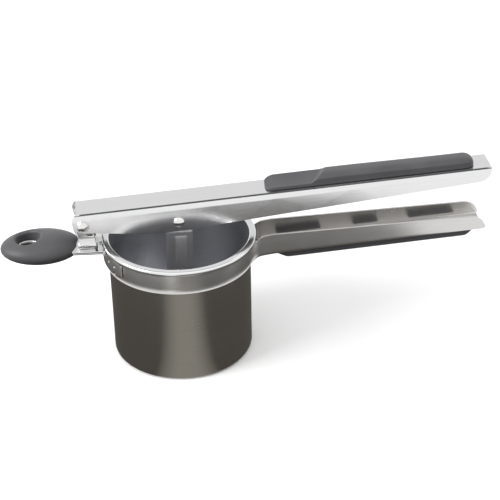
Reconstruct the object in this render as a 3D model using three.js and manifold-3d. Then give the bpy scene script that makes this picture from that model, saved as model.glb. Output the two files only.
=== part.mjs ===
// Potato ricer, closed: a perforated hopper in a strap that runs on as the lower
// handle, and a pressing lever hinged beyond the hopper's far side.
// Millimetres. The origin is the centre of the hopper's underside, +Z is up, and
// +X points along the handles, away from the hinge and the hanging knob.
import * as THREE from 'three';
import { mergeVertices } from 'three/addons/utils/BufferGeometryUtils.js';
import Module from 'manifold-3d';

const wasm = await Module();
wasm.setup();

// ---------------------------------------------------------------- dimensions
const GAP = 0.3;              // clearance between pieces that touch

const RIM_Z = 74;             // top of the hopper's rolled rim
const CUP_R = 40;             // hopper, inside radius
const CUP_WALL = 0.8;
const CUP_CORNER = 2.2;       // round between the hopper's wall and base
const RIM_R = 44.3;           // outer radius of the rolled rim
const RIM_SHEET = 1.2;
const RIM_CURL = 2.8;         // how far the rim's edge turns down
const HOLE_R = 1.5;
const HOLE_PITCH = 5.2;
const HOLE_FIELD_R = 34;      // the perforated area

const BAND_R = CUP_R + CUP_WALL + GAP;   // strap round the hopper, inside radius
const BAND_SHEET = 1.2;
const BAND_LOW = RIM_Z - 14.8;
const BAND_TOP = RIM_Z - 3.2;
const BAND_GAP_DEG = 8;       // half of the gap between the strap's two ends
const TROUGH_HALF = 9.7;      // lower handle, half of its outer width
const TROUGH_END_X = 176.2;
const NECK_R = 9;             // inside radius of the bend from strap to handle
const FLOOR_START_X = 44;
const FLOOR_LINE = { x: 52, z: RIM_Z - 13.3, slope: 0.0657 };   // underside of the floor

const HINGE = { x: -53.6, z: RIM_Z + 13.1 };
const LEVER_TILT = THREE.MathUtils.degToRad(3.6);
const LEVER_HALF = 9.8;       // lever, half of its outer width
const LEVER_SHEET = 1.2;
const LEVER_TOP = 6.8;        // top plate above the hinge axis
const LEVER_LENGTH = 232.2;   // hinge axis to the lever's end
const PIN_U = 53.4;           // plunger pin along the lever
const PIN_W = -4.2;           // and below the hinge axis
const PIVOT_R = 2.0;          // shank of both rivets
const PIVOT_HOLE_R = PIVOT_R + GAP;

const STEM_HALF = 6.9;        // plunger stem, half of its width across the lever
const STEM_SHEET = 1.2;
const STEM_X = [-7.5, 7.6];
const STEM_SHOULDER_Z = RIM_Z + 4.6;
const EYE = { x: 2.7, z: 0.8, half_length: 5.2, half_height: 3.4 };   // from the pin
const PLATE_R = 38.4;
const PLATE_X = -1.2;         // the plate's centre from the hopper's axis
const PLATE_Z = [3.0, 5.0];
const PLATE_RIVET_X = [-4.2, 4.2];

const KNOB = { x: -78.5, z: RIM_Z - 3.5, rx: 22.9, ry: 15.7, rz: 8 };
const EYELET = { x: -85.3, r: 7 };       // hanging hole through the knob
const TONGUE_Z = [RIM_Z - 2.4, RIM_Z - 0.4];
const TONGUE_HALF = 15.3;
const EAR_OUT = 7.3;          // outer face of the bracket's ears
const EAR_SHEET = 1.4;
const WING_DEG = 38.3;        // the bracket's wings reach this far round the strap

const GRIP_SLOTS_X = [[57.5, 84], [103, 118], [136, 163]];   // lower handle
const LEVER_SLOTS_U = [[110, 136], [156, 171], [189, 215]];  // lever
const SLOT_HALF = 5.3;

// ----------------------------------------------------------------- materials
function steel(color, roughness) {
  return new THREE.MeshStandardMaterial({ color, roughness, metalness: 1 });
}

const POLISHED = steel(0xd9dadb, 0.14);
const BRUSHED = steel(0xb7b5b0, 0.32);
const RUBBER = new THREE.MeshStandardMaterial({ color: 0x3c3c41, roughness: 0.72, metalness: 0 });

// -------------------------------------------------------------- solid helpers
function toSolid(geometry) {
  const bare = geometry.clone();
  bare.deleteAttribute('normal');
  bare.deleteAttribute('uv');
  const merged = mergeVertices(bare, 1e-4);
  return new wasm.Manifold(new wasm.Mesh({
    numProp: 3,
    vertProperties: new Float32Array(merged.attributes.position.array),
    triVerts: new Uint32Array(merged.index.array),
  }));
}

function toGeometry(solid) {
  const mesh = solid.getMesh();
  const geometry = new THREE.BufferGeometry();
  geometry.setAttribute('position', new THREE.BufferAttribute(mesh.vertProperties, 3));
  geometry.setIndex(new THREE.BufferAttribute(mesh.triVerts, 1));
  geometry.computeVertexNormals();
  return geometry;
}

function joined(solids) {
  return solids.reduce((whole, solid) => whole.add(solid));
}

function cutBy(solid, cutters) {
  return cutters.reduce((rest, cutter) => rest.subtract(cutter), solid);
}

function extruded(shape, depth, curveSegments) {
  return new THREE.ExtrudeGeometry(shape, { depth, bevelEnabled: false, curveSegments });
}

// A shape drawn in X and Y, standing from z0 to z1.
function prismZ(shape, z0, z1, curveSegments = 12) {
  return toSolid(extruded(shape, z1 - z0, curveSegments).translate(0, 0, z0));
}

// A shape drawn in X and Z, running from y0 to y1.
function prismY(shape, y0, y1, curveSegments = 12) {
  const geometry = extruded(shape, y1 - y0, curveSegments);
  return toSolid(geometry.rotateX(Math.PI / 2).translate(0, y1, 0));
}

// A shape drawn in Y and Z, running from x0 to x1.
function prismX(shape, x0, x1, curveSegments = 8) {
  const turn = new THREE.Matrix4().makeBasis(
    new THREE.Vector3(0, 1, 0), new THREE.Vector3(0, 0, 1), new THREE.Vector3(1, 0, 0));
  return toSolid(extruded(shape, x1 - x0, curveSegments).applyMatrix4(turn).translate(x0, 0, 0));
}

function box(x0, x1, y0, y1, z0, z1) {
  const geometry = new THREE.BoxGeometry(x1 - x0, y1 - y0, z1 - z0);
  return toSolid(geometry.translate((x0 + x1) / 2, (y0 + y1) / 2, (z0 + z1) / 2));
}

function rodY(radius, halfLength, x, z, segments = 24) {
  const geometry = new THREE.CylinderGeometry(radius, radius, 2 * halfLength, segments);
  return toSolid(geometry.translate(x, 0, z));
}

function rodZ(radius, z0, z1, x, y, segments = 24) {
  const geometry = new THREE.CylinderGeometry(radius, radius, z1 - z0, segments);
  return toSolid(geometry.rotateX(Math.PI / 2).translate(x, y, (z0 + z1) / 2));
}

function polygon(points) {
  return new THREE.Shape(points.map(([a, b]) => new THREE.Vector2(a, b)));
}

function latheZ(points, segments) {
  const profile = points.map(([r, z]) => new THREE.Vector2(r, z));
  return new THREE.LatheGeometry(profile, segments).rotateX(Math.PI / 2);
}

// A sector of a ring round the hopper's axis, centred on the -X side.
function ringSector(rIn, rOut, halfDeg, z0, z1) {
  const start = Math.PI - THREE.MathUtils.degToRad(halfDeg);
  const end = Math.PI + THREE.MathUtils.degToRad(halfDeg);
  const shape = new THREE.Shape();
  shape.absarc(0, 0, rOut, start, end, false);
  shape.absarc(0, 0, rIn, end, start, true);
  return prismZ(shape, z0, z1, 16);
}

// ---------------------------------------------------------------------- hopper
function hopperProfile() {
  const wall = CUP_R + CUP_WALL;
  return [
    [0, 0], [wall - CUP_CORNER, 0], [wall - 0.65, 0.65], [wall, CUP_CORNER],
    [wall, RIM_Z - RIM_SHEET], [RIM_R - CUP_WALL, RIM_Z - RIM_SHEET],
    [RIM_R - CUP_WALL, RIM_Z - RIM_CURL], [RIM_R, RIM_Z - RIM_CURL],
    [RIM_R, RIM_Z - 0.8], [RIM_R - 0.35, RIM_Z - 0.2], [RIM_R - 1, RIM_Z],
    [CUP_R + 0.9, RIM_Z], [CUP_R + 0.25, RIM_Z - 0.25], [CUP_R, RIM_Z - 0.9],
    [CUP_R, CUP_CORNER], [CUP_R - 0.45, 1.2], [CUP_R - 1.4, CUP_WALL], [0, CUP_WALL],
  ];
}

// Hole centres on a triangular grid; the middle of the base stays solid.
function holeCentres() {
  const centres = [];
  const rows = Math.ceil(HOLE_FIELD_R / HOLE_PITCH) + 1;
  for (let i = -rows; i <= rows; i += 1) {
    for (let j = -rows; j <= rows; j += 1) {
      const x = HOLE_PITCH * (i + j / 2);
      const y = HOLE_PITCH * j * Math.sqrt(3) / 2;
      const distance = Math.hypot(x, y);
      if (distance > HOLE_PITCH / 2 && distance < HOLE_FIELD_R) centres.push([x, y]);
    }
  }
  return centres;
}

function makeHopper() {
  const cup = toSolid(latheZ(hopperProfile(), 56));
  const drills = holeCentres().map(([x, y]) => rodZ(HOLE_R, -1, 2, x, y, 6));
  return cup.subtract(joined(drills));
}

// ---------------------------------------------------- strap and lower handle
// One side of the strap in plan: from its end beside the hinge, round the hopper,
// through the neck and along the handle. side is -1 for the near half, +1 for the far.
function strapPlan(side) {
  const outer = BAND_R + BAND_SHEET;
  const neckX = Math.sqrt((outer + NECK_R) ** 2 - (TROUGH_HALF + NECK_R) ** 2);
  const neckY = side * (TROUGH_HALF + NECK_R);
  const leave = Math.atan2(neckY, neckX);
  const start = side * (Math.PI - THREE.MathUtils.degToRad(BAND_GAP_DEG));
  const back = leave + Math.PI;
  const inward = -side * Math.PI / 2;
  const clockwise = side > 0;
  const shape = new THREE.Shape();
  shape.absarc(0, 0, outer, start, leave, clockwise);
  shape.absarc(neckX, neckY, NECK_R, back, inward, !clockwise);
  shape.lineTo(TROUGH_END_X, side * TROUGH_HALF);
  shape.lineTo(TROUGH_END_X, side * (TROUGH_HALF - BAND_SHEET));
  shape.absarc(neckX, neckY, NECK_R + BAND_SHEET, inward, back, clockwise);
  shape.absarc(0, 0, BAND_R, leave, start, !clockwise);
  return shape;
}

function floorZ(x) {
  return FLOOR_LINE.z + (x - FLOOR_LINE.x) * FLOOR_LINE.slope;
}

// The side view that trims the strap and the handle's flanges.
function lowerSideView() {
  const shape = new THREE.Shape();
  shape.moveTo(-60, BAND_LOW);
  shape.lineTo(40, BAND_LOW);
  shape.quadraticCurveTo(45, BAND_LOW + 0.3, FLOOR_LINE.x, FLOOR_LINE.z);
  shape.lineTo(TROUGH_END_X - 1, floorZ(TROUGH_END_X - 1));
  shape.quadraticCurveTo(TROUGH_END_X, floorZ(TROUGH_END_X), TROUGH_END_X, RIM_Z - 3.8);
  shape.bezierCurveTo(TROUGH_END_X, RIM_Z + 0.4, TROUGH_END_X - 4, RIM_Z + 3.8,
    TROUGH_END_X - 9.5, RIM_Z + 3.6);
  shape.lineTo(51, RIM_Z);
  shape.quadraticCurveTo(47, RIM_Z - 0.3, 44.6, BAND_TOP);
  shape.lineTo(-60, BAND_TOP);
  return shape;
}

function makeLowerHandle() {
  const trim = prismY(lowerSideView(), -60, 60, 6);
  const straps = [-1, 1].map((side) => prismZ(strapPlan(side), BAND_LOW - 5, RIM_Z + 10, 28));
  const trimmed = straps.map((strap) => strap.intersect(trim));
  const end = TROUGH_END_X - 0.8;
  const floor = prismY(polygon([
    [FLOOR_START_X, floorZ(FLOOR_START_X)], [end, floorZ(end)],
    [end, floorZ(end) + BAND_SHEET], [FLOOR_START_X, floorZ(FLOOR_START_X) + BAND_SHEET],
  ]), -TROUGH_HALF + 0.5, TROUGH_HALF - 0.5);
  const slots = GRIP_SLOTS_X.map(([x0, x1]) => (
    box(x0, x1, -SLOT_HALF, SLOT_HALF, BAND_LOW - 5, RIM_Z)));
  return joined([...trimmed, cutBy(floor, slots)]);
}

// ----------------------------------------------------------------- grip pads
function makeLowerGrip() {
  const half = TROUGH_HALF - 2;
  const top = (x) => floorZ(x) - GAP;
  const thick = 3.8;
  const pad = prismY(polygon([
    [55.7, top(55.7) - 1.2], [60.5, top(60.5) - thick], [167.3, top(167.3) - thick],
    [169.8, top(169.8)], [55.7, top(55.7)],
  ]), -half, half);
  const lugs = GRIP_SLOTS_X.map(([x0, x1]) => {
    const outline = polygon([
      [x0 + GAP, top(x0) - 1], [x1 - GAP, top(x1) - 1],
      [x1 - GAP, floorZ(x1) + BAND_SHEET - 0.2], [x0 + GAP, floorZ(x0) + BAND_SHEET - 0.2],
    ]);
    return prismY(outline, -SLOT_HALF + GAP, SLOT_HALF - GAP);
  });
  return joined([pad, ...lugs]);
}

// The upper pad in the lever's own frame: a low thumb rest, then a crowned ridge.
function makeUpperGrip() {
  const base = LEVER_TOP + GAP;
  const end = 222.8;
  const side = new THREE.Shape();
  side.moveTo(103.8, base);
  side.lineTo(end, base);
  side.quadraticCurveTo(end - 0.2, base + 4.4, end - 7, base + 5.2);
  side.quadraticCurveTo(180, base + 6, 144, base + 5.8);
  side.quadraticCurveTo(134, base + 5.6, 128, base + 4.2);
  side.quadraticCurveTo(118, base + 3.8, 109, base + 3.9);
  side.quadraticCurveTo(104, base + 3.4, 103.8, base + 1.2);
  const plan = new THREE.Shape();
  plan.moveTo(108, -6.7);
  plan.lineTo(end - 7, -6.7);
  plan.quadraticCurveTo(end, -6, end, 0);
  plan.quadraticCurveTo(end, 6, end - 7, 6.7);
  plan.lineTo(108, 6.7);
  plan.quadraticCurveTo(103.8, 6, 103.8, 0);
  plan.quadraticCurveTo(103.8, -6, 108, -6.7);
  const section = new THREE.Shape();
  section.moveTo(-6.7, base - 0.1);
  section.lineTo(-6.7, base + 3.6);
  section.quadraticCurveTo(-5.4, base + 5.6, 0, base + 5.9);
  section.quadraticCurveTo(5.4, base + 5.8, 6.7, base + 3.9);
  section.lineTo(6.7, base - 0.1);
  const pad = prismY(side, -8, 8, 8)
    .intersect(prismZ(plan, base - 1, base + 8, 6))
    .intersect(prismX(section, 100, 230, 6));
  const lugs = LEVER_SLOTS_U.map(([u0, u1]) => box(u0 + GAP, u1 - GAP, -SLOT_HALF + GAP,
    SLOT_HALF - GAP, LEVER_TOP - LEVER_SHEET + 0.2, base + 0.5));
  return joined([pad, ...lugs]);
}

// ---------------------------------------------------------------------- lever
// In the lever's own frame: u runs along it from the hinge axis, w is up.
function leverSideView() {
  const endR = 8;
  const shape = new THREE.Shape();
  shape.moveTo(-3.4, LEVER_TOP);
  shape.quadraticCurveTo(-5.6, 6.2, -5.8, 2.4);
  shape.quadraticCurveTo(-6, -3.8, 1, -4.4);
  shape.lineTo(36, -9.5);
  shape.quadraticCurveTo(43, -10.5, 50, -9.9);
  shape.lineTo(LEVER_LENGTH - endR, LEVER_TOP - endR);
  shape.quadraticCurveTo(LEVER_LENGTH - 0.6, LEVER_TOP - endR + 0.4, LEVER_LENGTH, LEVER_TOP);
  return shape;
}

function leverSection() {
  const inner = LEVER_HALF - LEVER_SHEET;
  const low = -14;
  const bend = 1.2;
  const shape = new THREE.Shape();
  shape.moveTo(-LEVER_HALF, low);
  shape.lineTo(-inner, low);
  shape.lineTo(-inner, LEVER_TOP - LEVER_SHEET);
  shape.lineTo(inner, LEVER_TOP - LEVER_SHEET);
  shape.lineTo(inner, low);
  shape.lineTo(LEVER_HALF, low);
  shape.lineTo(LEVER_HALF, LEVER_TOP - bend);
  shape.quadraticCurveTo(LEVER_HALF, LEVER_TOP, LEVER_HALF - bend, LEVER_TOP);
  shape.lineTo(-LEVER_HALF + bend, LEVER_TOP);
  shape.quadraticCurveTo(-LEVER_HALF, LEVER_TOP, -LEVER_HALF, LEVER_TOP - bend);
  return shape;
}

function makeLever() {
  const blank = prismX(leverSection(), -8, LEVER_LENGTH + 2, 4);
  const lever = blank.intersect(prismY(leverSideView(), -10, 10, 8));
  const holes = [rodY(PIVOT_HOLE_R, 12, 0, 0), rodY(PIVOT_HOLE_R, 12, PIN_U, PIN_W)];
  const slots = LEVER_SLOTS_U.map(([u0, u1]) => (
    box(u0, u1, -SLOT_HALF, SLOT_HALF, 3, LEVER_TOP + 2)));
  return cutBy(lever, [...holes, ...slots]);
}

// A rivet across the lever with a low dome outside each flange. seat is how far
// the domes stand off the flanges.
function makePivotRivet(headR, headHeight, seat) {
  const face = LEVER_HALF + seat;
  const half = [[headR, face], [headR * 0.93, face + headHeight * 0.45],
    [headR * 0.6, face + headHeight * 0.85], [0, face + headHeight]];
  const top = [[PIVOT_R, face], ...half];
  const bottom = [...top].reverse().map(([r, y]) => [r, -y]);
  const profile = [...bottom, ...top].map(([r, y]) => new THREE.Vector2(r, y));
  return new THREE.LatheGeometry(profile, 24);
}

function makeTube(rIn, rOut, y0, y1) {
  const profile = [[rIn, y0], [rOut, y0], [rOut, y1], [rIn, y1], [rIn, y0]];
  return new THREE.LatheGeometry(profile.map(([r, y]) => new THREE.Vector2(r, y)), 24);
}

// -------------------------------------------------------------- hinge bracket
// Neck and ring of the bracket inside the knob, widened by grow for its pocket.
function tongueCore(grow) {
  const [low, high] = [TONGUE_Z[0] - grow, TONGUE_Z[1] + grow];
  const neck = box(EYELET.x, -56, -8 - grow, 8 + grow, low, high);
  return neck.add(rodZ(10.5 + grow, low, high, EYELET.x, 0, 32));
}

function tonguePlan() {
  const shape = new THREE.Shape();
  const reach = RIM_R + GAP;
  const turn = Math.asin(TONGUE_HALF / reach);
  shape.absarc(0, 0, reach, Math.PI - turn, Math.PI + turn, false);
  shape.lineTo(-60.2, -TONGUE_HALF + 0.4);
  shape.lineTo(-60.8, -TONGUE_HALF + 1.4);
  shape.lineTo(-58.4, -8);
  shape.lineTo(-58.4, 8);
  shape.lineTo(-60.8, TONGUE_HALF - 1.4);
  shape.lineTo(-60.2, TONGUE_HALF - 0.4);
  return shape;
}

// An ear in section across the lever: it stands up inside the flange, and bends
// outwards through a fillet into the tongue.
function earSection(side) {
  const inside = EAR_OUT - EAR_SHEET;
  const bendR = 2.4;
  const bendZ = TONGUE_Z[1] + bendR;
  const bendY = EAR_OUT + bendR;
  const points = [[inside, HINGE.z + 8], [inside, bendZ]];
  for (let step = 1; step <= 6; step += 1) {
    const angle = Math.PI + (Math.PI / 2) * (step / 6);
    const r = bendR + EAR_SHEET;
    points.push([bendY + r * Math.cos(angle), bendZ + r * Math.sin(angle)]);
  }
  points.push([bendY + 1, TONGUE_Z[0] + 0.2], [bendY + 1, TONGUE_Z[1]]);
  for (let step = 6; step >= 0; step -= 1) {
    const angle = Math.PI + (Math.PI / 2) * (step / 6);
    points.push([bendY + bendR * Math.cos(angle), bendZ + bendR * Math.sin(angle)]);
  }
  points.push([EAR_OUT, HINGE.z + 8]);
  return polygon(points.map(([y, z]) => [side * y, z]));
}

// Side view of the ears, from the hinge eye down to the tongue.
function earSideView() {
  const { x, z } = HINGE;
  const shape = new THREE.Shape();
  shape.moveTo(x - 4.2, RIM_Z - 3);
  shape.quadraticCurveTo(x - 1.8, z - 9, x - 4.6, z - 2);
  shape.absarc(x, z, 5, Math.PI + 0.4, 0, true);
  shape.lineTo(x + 5.8, z - 6);
  shape.quadraticCurveTo(x + 5.9, RIM_Z + 1.5, x + 8.4, RIM_Z - 1.2);
  shape.lineTo(x + 8.4, RIM_Z - 3);
  return shape;
}

function makeHingeBracket() {
  const earTrim = prismY(earSideView(), -20, 20, 10);
  const ears = [-1, 1].map((side) => (
    prismX(earSection(side), HINGE.x - 8, HINGE.x + 8.6).intersect(earTrim)));
  const tongue = prismZ(tonguePlan(), TONGUE_Z[0], TONGUE_Z[1], 20);
  const eyelet = rodZ(EYELET.r - 0.9, RIM_Z - 5, RIM_Z + 2, EYELET.x, 0, 32);
  const wingIn = BAND_R + BAND_SHEET + GAP;
  const wing = ringSector(wingIn, wingIn + 1.2, WING_DEG, RIM_Z - 12, RIM_Z - RIM_CURL - GAP);
  const ledge = ringSector(wingIn, 45.8, 20, RIM_Z - 4.4, RIM_Z - RIM_CURL - GAP);
  const riser = ringSector(RIM_R + GAP, 45.8, 20, RIM_Z - 4.4, TONGUE_Z[1]);
  const relief = box(-44, -40, -2.5, 2.5, RIM_Z - 14, RIM_Z - 4.6);
  const posts = [-1, 1].flatMap((side) => [
    box(-46.4, -45.2, side * 5 - 1.4, side * 5 + 1.4, TONGUE_Z[1] - 0.5, RIM_Z + 1),
    box(-46.4, -43.2, side * 5 - 1.4, side * 5 + 1.4, RIM_Z + 0.4, RIM_Z + 7.6),
  ]);
  const holes = [eyelet, relief, rodY(PIVOT_HOLE_R, 12, HINGE.x, HINGE.z),
    box(HINGE.x + 1.3, HINGE.x + 5.1, -12, 12, HINGE.z - 7.6, HINGE.z - 6.7)];
  const body = joined([tongue, tongueCore(0), ...ears, wing, ledge, riser, ...posts]);
  return cutBy(body, holes);
}

// ----------------------------------------------------------------------- knob
function makeKnob() {
  const ball = new THREE.SphereGeometry(1, 32, 18).rotateX(Math.PI / 2);
  ball.scale(KNOB.rx, KNOB.ry, KNOB.rz).translate(KNOB.x, 0, KNOB.z);
  const eyelet = rodZ(EYELET.r, RIM_Z - 20, RIM_Z + 20, EYELET.x, 0, 32);
  const tongueSlot = box(-61.1, -50, -16, 16, TONGUE_Z[0] - GAP, TONGUE_Z[1] + GAP);
  const earRoom = box(HINGE.x - 5.3, -50, -12, 12, TONGUE_Z[1], RIM_Z + 10);
  return cutBy(toSolid(ball), [eyelet, tongueCore(GAP), tongueSlot, earRoom]);
}

// -------------------------------------------------------------------- plunger
function stemSideView() {
  const eye = { x: EYE.x, z: PIN_AT.z + EYE.z };
  const half = EYE.half_length + 1.7;
  const top = eye.z + EYE.half_height + 1.6;
  const shape = new THREE.Shape();
  shape.moveTo(STEM_X[0], PLATE_Z[1] + GAP);
  shape.lineTo(STEM_X[1], PLATE_Z[1] + GAP);
  shape.lineTo(STEM_X[1], STEM_SHOULDER_Z);
  shape.lineTo(eye.x + half, eye.z - 2.4);
  shape.lineTo(eye.x + half, top - 4.5);
  shape.quadraticCurveTo(eye.x + half, top, eye.x + half - 4.5, top);
  shape.lineTo(eye.x - half + 4.5, top);
  shape.quadraticCurveTo(eye.x - half, top, eye.x - half, top - 4.5);
  shape.lineTo(eye.x - half, eye.z - 2.4);
  shape.lineTo(STEM_X[0], STEM_SHOULDER_Z);
  return shape;
}

// The eye is an oblong hole: the pin travels in it as the lever swings.
function eyeShape() {
  const { half_length: length, half_height: height } = EYE;
  const [x, z] = [EYE.x, PIN_AT.z + EYE.z];
  const shape = new THREE.Shape();
  shape.absarc(x + length - height, z, height, -Math.PI / 2, Math.PI / 2, false);
  shape.absarc(x - length + height, z, height, Math.PI / 2, Math.PI * 1.5, false);
  return shape;
}

function makeStem() {
  const foot = PLATE_Z[1] + GAP;
  const blank = prismY(stemSideView(), -STEM_HALF, STEM_HALF, 6);
  const inside = STEM_HALF - STEM_SHEET;
  const hollow = box(STEM_X[0] - 5, 15, -inside, inside, foot + STEM_SHEET, HINGE.z + 20);
  const ribs = [-1, 1].map((side) => {
    const [a, b] = [side * (STEM_HALF - 0.5), side * (STEM_HALF + 0.35)];
    return box(-2.8, 4.2, Math.min(a, b), Math.max(a, b), foot + 6, STEM_SHOULDER_Z - 3);
  });
  const rivetHoles = PLATE_RIVET_X.map((x) => rodZ(1.8, 0, foot + 5, x + PLATE_X, 0, 16));
  const eye = prismY(eyeShape(), -12, 12, 10);
  return cutBy(joined([blank.subtract(hollow), ...ribs]), [eye, ...rivetHoles]);
}

function makePlate() {
  const edge = 0.4;
  const [low, high] = PLATE_Z;
  const disc = toSolid(latheZ([[0, low], [PLATE_R - edge, low], [PLATE_R, low + edge],
    [PLATE_R, high - edge], [PLATE_R - edge, high], [0, high]], 64));
  return cutBy(disc, PLATE_RIVET_X.map((x) => rodZ(1.8, 0, high + 2, x, 0, 16)));
}

function makePlateRivet() {
  const foot = PLATE_Z[1] + GAP + STEM_SHEET + GAP;
  const under = PLATE_Z[0] - GAP;
  return latheZ([[0, under - 0.8], [2.4, under - 0.8], [3, under - 0.3], [3, under],
    [1.5, under], [1.5, foot], [3, foot], [2.7, foot + 0.6], [1.6, foot + 1], [0, foot + 1.1]], 20);
}

// ------------------------------------------------------------------- assembly
function named(name, shape, material) {
  const geometry = shape.isBufferGeometry ? shape : toGeometry(shape);
  const mesh = new THREE.Mesh(geometry, material);
  mesh.name = name;
  return mesh;
}

function makeBase() {
  const base = new THREE.Group();
  base.add(named('hopper', makeHopper(), BRUSHED));
  base.add(named('lower_handle', makeLowerHandle(), BRUSHED));
  base.add(named('lower_grip', makeLowerGrip(), RUBBER));
  base.add(named('hinge_bracket', makeHingeBracket(), POLISHED));
  base.add(named('hanging_knob', makeKnob(), RUBBER));
  const sleeveEnd = EAR_OUT - EAR_SHEET - GAP;
  const sleeve = named('hinge_sleeve', makeTube(PIVOT_HOLE_R, 3.4, -sleeveEnd, sleeveEnd), POLISHED);
  sleeve.position.set(HINGE.x, 0, HINGE.z);
  base.add(sleeve);
  return base;
}

function makeLeverGroup() {
  const lever = new THREE.Group();
  lever.position.set(HINGE.x, 0, HINGE.z);
  lever.rotation.y = -LEVER_TILT;
  const washer = [LEVER_HALF + 0.2, LEVER_HALF + 0.7];
  lever.add(named('lever_channel', makeLever(), POLISHED));
  lever.add(named('upper_grip', makeUpperGrip(), RUBBER));
  lever.add(named('hinge_rivet', makePivotRivet(3, 1.1, 0.9), POLISHED));
  lever.add(named('hinge_washer_near', makeTube(PIVOT_HOLE_R, 3.6, -washer[1], -washer[0]), POLISHED));
  lever.add(named('hinge_washer_far', makeTube(PIVOT_HOLE_R, 3.6, washer[0], washer[1]), POLISHED));
  const pin = named('plunger_pin', makePivotRivet(3, 1.5, 0.25), POLISHED);
  pin.position.set(PIN_U, 0, PIN_W);
  lever.add(pin);
  return lever;
}

function makePlunger() {
  const plunger = new THREE.Group();
  plunger.add(named('plunger_stem', makeStem(), BRUSHED));
  const plate = named('press_plate', makePlate(), BRUSHED);
  plate.position.x = PLATE_X;
  plunger.add(plate);
  PLATE_RIVET_X.forEach((x, index) => {
    const rivet = named(`plate_rivet_${index + 1}`, makePlateRivet(), POLISHED);
    rivet.position.x = x + PLATE_X;
    plunger.add(rivet);
  });
  return plunger;
}

// The plunger pin's place in the object's frame.
const PIN_AT = {
  x: HINGE.x + PIN_U * Math.cos(LEVER_TILT) - PIN_W * Math.sin(LEVER_TILT),
  z: HINGE.z + PIN_U * Math.sin(LEVER_TILT) + PIN_W * Math.cos(LEVER_TILT),
};

const ricer = new THREE.Group();
ricer.add(makeBase(), makeLeverGroup(), makePlunger());

export default ricer;
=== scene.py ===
"""Looks for the potato ricer: detailed meshes, materials, floor, light and camera.

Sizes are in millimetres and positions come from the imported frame. Every mesh is
scaled to metres as it is made.
"""

import math

import bmesh
import bpy
from mathutils import Matrix, Vector
from mathutils.geometry import delaunay_2d_cdt


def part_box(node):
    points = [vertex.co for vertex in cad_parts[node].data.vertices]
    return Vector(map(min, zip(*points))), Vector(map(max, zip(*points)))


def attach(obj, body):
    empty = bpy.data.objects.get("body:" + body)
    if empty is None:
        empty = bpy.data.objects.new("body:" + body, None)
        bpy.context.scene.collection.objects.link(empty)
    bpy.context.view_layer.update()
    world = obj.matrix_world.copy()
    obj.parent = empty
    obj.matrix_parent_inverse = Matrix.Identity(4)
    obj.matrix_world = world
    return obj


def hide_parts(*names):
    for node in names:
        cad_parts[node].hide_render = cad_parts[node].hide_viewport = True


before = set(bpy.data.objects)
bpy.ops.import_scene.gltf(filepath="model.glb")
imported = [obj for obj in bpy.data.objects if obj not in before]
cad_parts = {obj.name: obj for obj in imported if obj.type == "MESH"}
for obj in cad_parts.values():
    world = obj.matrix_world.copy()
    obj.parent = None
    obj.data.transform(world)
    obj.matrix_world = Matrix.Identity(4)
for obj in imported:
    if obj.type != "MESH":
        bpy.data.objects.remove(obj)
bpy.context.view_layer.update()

MM = 0.001
TURN = 2 * math.pi


def box_mm(node):
    low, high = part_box(node)
    return low / MM, high / MM


def middle(node):
    low, high = box_mm(node)
    return (low + high) / 2


# ---------------------------------------------------------------- where things are
RIM_R = box_mm("hopper")[1].x
RIM_Z = box_mm("hopper")[1].z
HINGE = middle("hinge_rivet")
PIN = middle("plunger_pin")
KNOB = middle("hanging_knob")
PLATE = middle("press_plate")
STEM_LOW = box_mm("plunger_stem")[0]
HANDLE_END_X = box_mm("lower_handle")[1].x

# ------------------------------------------------------------------------- sizes
CUP_R = 40.0          # hopper, inside radius
CUP_WALL = 0.8
SHEET = 1.2
GAP = 0.3             # clearance between pieces that touch
HOLE_R = 1.5
HOLE_PITCH = 5.2
HOLE_FIELD_R = 34.0   # the holes stay inside this radius
HOLE_POINTS = 16
BASE_DISC_R = 36.5    # the flat, perforated part of the base

BAND_OUT = CUP_R + CUP_WALL + GAP + SHEET
BAND_LOW = RIM_Z - 14.8
BAND_TOP = RIM_Z - 3.2
BAND_GAP = math.radians(8)        # half of the gap between the strap's ends
TROUGH_HALF = 9.7     # lower handle, half of its width
NECK_R = 9.0
FLOOR_SLOPE = 0.0657
FLOOR_AT = (52.0, RIM_Z - 13.3)
BEND_R = 1.8
HANDLE_ROUND = 9.5    # length of the rounding at the handle's end
BAND_STEPS = 72       # stations round the band, then round the neck
NECK_STEPS = 18
SKIRT_TALL = 0.9      # the strap's lower edge flares out a little round the hopper
SKIRT_OUT = 0.35

LEVER_TILT = math.radians(3.6)
LEVER_HALF = 9.8
LEVER_TOP = 6.8       # top plate above the hinge axis
LEVER_LENGTH = 232.0
PIVOT_HOLE_R = 2.3

GRIP_SLOTS_X = [(57.5, 84.0), (103.0, 118.0), (136.0, 163.0)]
LEVER_SLOTS_U = [(110.0, 136.0), (156.0, 171.0), (189.0, 215.0)]
SLOT_HALF = 5.3
PAD_HALF = 6.7        # upper pad, half of its width
PAD_U = (103.8, 222.8)
LOWER_PAD_X = (55.7, 169.8)

KNOB_HALF = (22.9, 15.7, 8.0)
EYELET_R = 7.0
EYELET_FROM_KNOB = -6.8           # hanging hole, along X from the knob's middle

LEVER_FRAME = Matrix.Translation(HINGE * MM) @ Matrix.Rotation(-LEVER_TILT, 4, "Y")


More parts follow.
